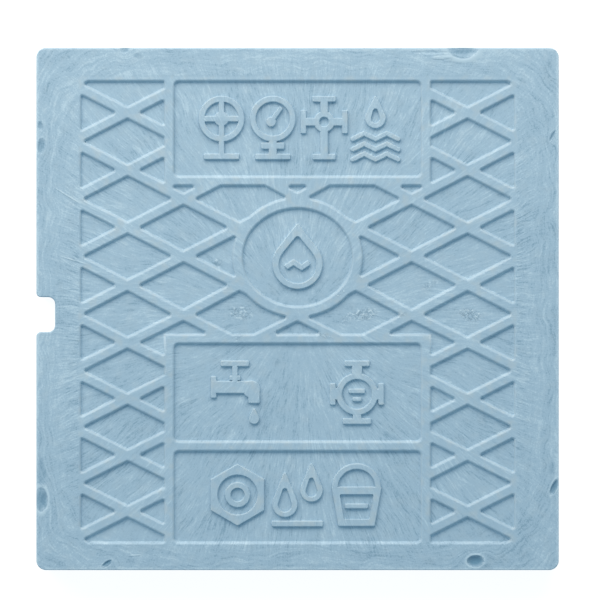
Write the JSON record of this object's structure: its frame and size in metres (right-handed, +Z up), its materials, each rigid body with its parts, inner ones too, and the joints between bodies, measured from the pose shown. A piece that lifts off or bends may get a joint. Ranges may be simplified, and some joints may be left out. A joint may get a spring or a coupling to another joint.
{
  "type": "water meter box cover",
  "caption": "Square moulded plastic lid for a below-ground water meter chamber, with a raised lattice tread, panels, an oval ring, a finger notch and a ribbed underside.",
  "frame": {"origin": "centre of the cover's outline on the plane its skirt rim rests on", "axes": "+Z up through the walked-on face, +X away from the side with the finger notch, +Y towards the edge beside the wide top panel"},
  "size_m": [0.6, 0.6, 0.04],
  "materials": {
    "moulding": "pale blue-grey filled plastic, satin, with flow streaks"
  },
  "bodies": {
    "root": {"cover": "moulding"}
  },
  "joints": []
}
